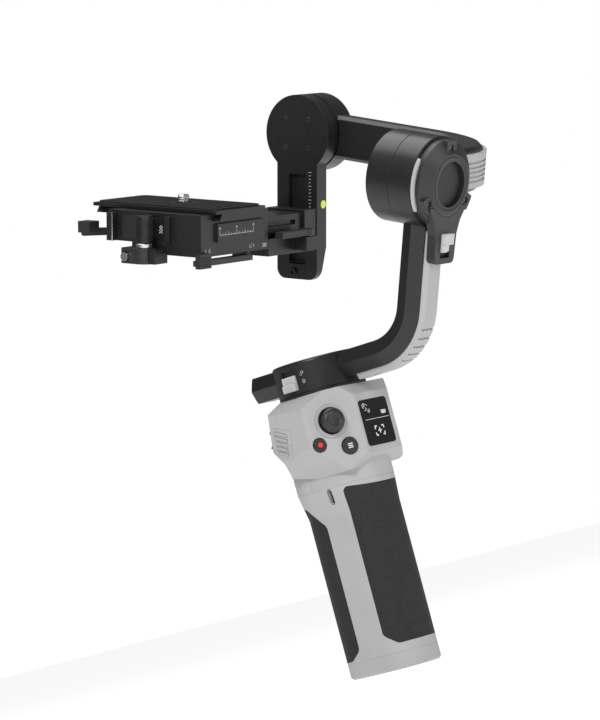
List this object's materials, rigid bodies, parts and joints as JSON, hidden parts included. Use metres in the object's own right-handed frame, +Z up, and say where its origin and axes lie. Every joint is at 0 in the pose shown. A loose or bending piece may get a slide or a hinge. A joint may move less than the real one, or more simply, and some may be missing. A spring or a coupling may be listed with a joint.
{
  "type": "camera gimbal",
  "caption": "Three-axis handheld camera stabiliser: oval grip, control head, three motor arms, levelled quick-release stage.",
  "frame": {"origin": "centre of the 1/4 inch tripod thread's mouth in the flat base of the handle", "axes": "+Z up along the handle and the pan axis, +Y forward towards the lens, +X to the operator's right"},
  "size_m": [0.1514, 0.2419, 0.3329],
  "materials": {
    "light_shell": "fine matt moulding",
    "switch_grey": "satin",
    "dark_plastic": "satin",
    "dark_alloy": "fine anodised satin",
    "grip_rubber": "fine leather grain",
    "pad_rubber": "ribbed",
    "screen_black": "gloss",
    "steel": "bright",
    "cell_wrap": "wrapped cell",
    "copper_winding": "enamelled wire",
    "circuit_board": "solder mask",
    "level_vial": "clear"
  },
  "bodies": {
    "handle": {"handle_shell": "light_shell", "base_cap": "light_shell", "tripod_insert": "steel", "front_grip_pad": "grip_rubber", "rear_grip_pad": "grip_rubber", "battery_carrier": "dark_plastic", "battery_cells": "cell_wrap", "head_rear_shell": "light_shell", "head_front_shell": "light_shell", "display_glass": "screen_black", "joystick_bezel": "light_shell", "trigger_pin": "steel", "wheel_axle": "steel", "charging_port": "steel", "main_board": "circuit_board", "pan_motor_base": "dark_alloy", "pan_bearings": "steel", "pan_stator": "copper_winding"},
    "joystick_ring": {"joystick_gimbal": "dark_plastic"},
    "joystick": {"joystick_cap": "dark_plastic"},
    "record_key": {"record_button": "dark_plastic"},
    "mode_key": {"mode_button": "dark_plastic"},
    "power_key": {"power_button": "dark_plastic"},
    "trigger_lever": {"trigger": "dark_plastic"},
    "thumb_wheel": {"control_wheel": "dark_plastic"},
    "pan_arm": {"pan_housing": "dark_alloy", "pan_shaft": "steel", "pan_arm_shell": "dark_alloy", "pan_arm_cover": "light_shell", "roll_motor_housing": "dark_alloy", "roll_bearings": "steel", "roll_stator": "copper_winding", "roll_rear_cap": "dark_plastic", "roll_cap_screws": "steel", "roll_accent_ring": "light_shell", "roll_lock_bracket": "dark_plastic"},
    "pan_lock": {"pan_lock_switch": "switch_grey"},
    "roll_lock": {"roll_lock_switch": "switch_grey"},
    "roll_arm": {"roll_rotor": "dark_alloy", "roll_arm_shell": "dark_alloy", "roll_arm_cover": "light_shell", "tilt_motor_housing": "dark_alloy", "tilt_stator": "copper_winding", "tilt_bearings": "steel", "tilt_end_cap": "dark_plastic"},
    "tilt_lock": {"tilt_lock_switch": "switch_grey"},
    "tilt_frame": {"tilt_rotor": "dark_alloy", "tilt_plate": "dark_alloy", "bubble_level": "level_vial"},
    "carriage": {"height_carriage": "dark_alloy", "cross_rail": "dark_alloy"},
    "height_lever": {"height_lock_lever": "dark_plastic"},
    "base_block": {"plate_base": "dark_alloy"},
    "cross_lever": {"cross_lock_lever": "dark_plastic"},
    "clamp_lever": {"plate_lock_lever": "dark_plastic"},
    "safety_pin": {"lever_pin": "steel"},
    "front_catch": {"front_latch": "dark_plastic"},
    "quick_plate": {"camera_plate": "dark_alloy", "plate_rubber": "pad_rubber"},
    "camera_bolt": {"camera_screw": "steel"}
  },
  "joints": [
    {"name": "pan", "type": "hinge", "parent": "handle", "child": "pan_arm", "pos_m": [0, 0, 0.1685], "axis": [0, 0, 1], "continuous": true},
    {"name": "roll", "type": "hinge", "parent": "pan_arm", "child": "roll_arm", "pos_m": [0, -0.1037, 0.2502], "axis": [0, -0.9135, -0.4067], "range_deg": [-58, 240]},
    {"name": "tilt", "type": "hinge", "parent": "roll_arm", "child": "tilt_frame", "pos_m": [0, 0.0315, 0.3104], "axis": [1, 0, 0], "range_deg": [-107, 210]},
    {"name": "height_slide", "type": "slide", "parent": "tilt_frame", "child": "carriage", "axis": [0, -0.3223, 0.9466], "range_m": [-0.009, 0.015]},
    {"name": "cross_slide", "type": "slide", "parent": "carriage", "child": "base_block", "axis": [1, 0, 0], "range_m": [-0.018, 0.0015]},
    {"name": "plate_slide", "type": "slide", "parent": "base_block", "child": "quick_plate", "axis": [0, 0.9466, 0.3223], "range_m": [-0.03, 0.03]},
    {"name": "camera_screw_turn", "type": "hinge", "parent": "quick_plate", "child": "camera_bolt", "pos_m": [0, 0.06291, 0.28065], "axis": [0, -0.3223, 0.9466], "continuous": true},
    {"name": "height_lever_swing", "type": "hinge", "parent": "carriage", "child": "height_lever", "pos_m": [0.062, 0.03027, 0.25242], "axis": [0, -0.3223, 0.9466], "range_deg": [0, 60]},
    {"name": "cross_lever_swing", "type": "hinge", "parent": "base_block", "child": "cross_lever", "pos_m": [0.013, 0.04201, 0.24585], "axis": [0, -0.3223, 0.9466], "range_deg": [0, 90]},
    {"name": "clamp_lever_swing", "type": "hinge", "parent": "base_block", "child": "clamp_lever", "pos_m": [-0.037, 0.06866, 0.25757], "axis": [0, -0.3223, 0.9466], "range_deg": [0, 90]},
    {"name": "safety_pin_press", "type": "slide", "parent": "clamp_lever", "child": "safety_pin", "axis": [1, 0, 0], "range_m": [0, 0.0012], "stiffness_N_per_m": 400},
    {"name": "front_catch_swing", "type": "hinge", "parent": "base_block", "child": "front_catch", "pos_m": [-0.016, 0.10053, 0.27877], "axis": [0, -0.3223, 0.9466], "range_deg": [-40, 0]},
    {"name": "pan_lock_slide", "type": "slide", "parent": "pan_arm", "child": "pan_lock", "axis": [0, 0, 1], "range_m": [0, 0.003]},
    {"name": "roll_lock_slide", "type": "slide", "parent": "pan_arm", "child": "roll_lock", "axis": [0, 0.4067, -0.9135], "range_m": [0, 0.003]},
    {"name": "tilt_lock_slide", "type": "slide", "parent": "roll_arm", "child": "tilt_lock", "axis": [0, 0.9135, 0.4067], "range_m": [0, 0.003]},
    {"name": "joystick_side", "type": "hinge", "parent": "handle", "child": "joystick_ring", "pos_m": [-0.02305, -0.0149, 0.1397], "axis": [0.866, -0.5, 0], "range_deg": [-14, 14], "stiffness_Nm_per_rad": 0.03},
    {"name": "joystick_lift", "type": "hinge", "parent": "joystick_ring", "child": "joystick", "pos_m": [-0.02305, -0.0149, 0.1397], "axis": [0, 0, 1], "range_deg": [-14, 14], "stiffness_Nm_per_rad": 0.03},
    {"name": "record_press", "type": "slide", "parent": "handle", "child": "record_key", "axis": [0.5, 0.866, 0], "range_m": [0, 0.0005], "stiffness_N_per_m": 400},
    {"name": "mode_press", "type": "slide", "parent": "handle", "child": "mode_key", "axis": [0.5, 0.866, 0], "range_m": [0, 0.0005], "stiffness_N_per_m": 400},
    {"name": "power_press", "type": "slide", "parent": "handle", "child": "power_key", "axis": [-1, 0, 0], "range_m": [0, 0.0005], "stiffness_N_per_m": 400},
    {"name": "trigger_pull", "type": "hinge", "parent": "handle", "child": "trigger_lever", "pos_m": [0, 0.027, 0.1466], "axis": [-1, 0, 0], "range_deg": [0, 8], "stiffness_Nm_per_rad": 0.05},
    {"name": "wheel_turn", "type": "hinge", "parent": "handle", "child": "thumb_wheel", "pos_m": [0, 0.0272, 0.1128], "axis": [1, 0, 0], "continuous": true}
  ]
}
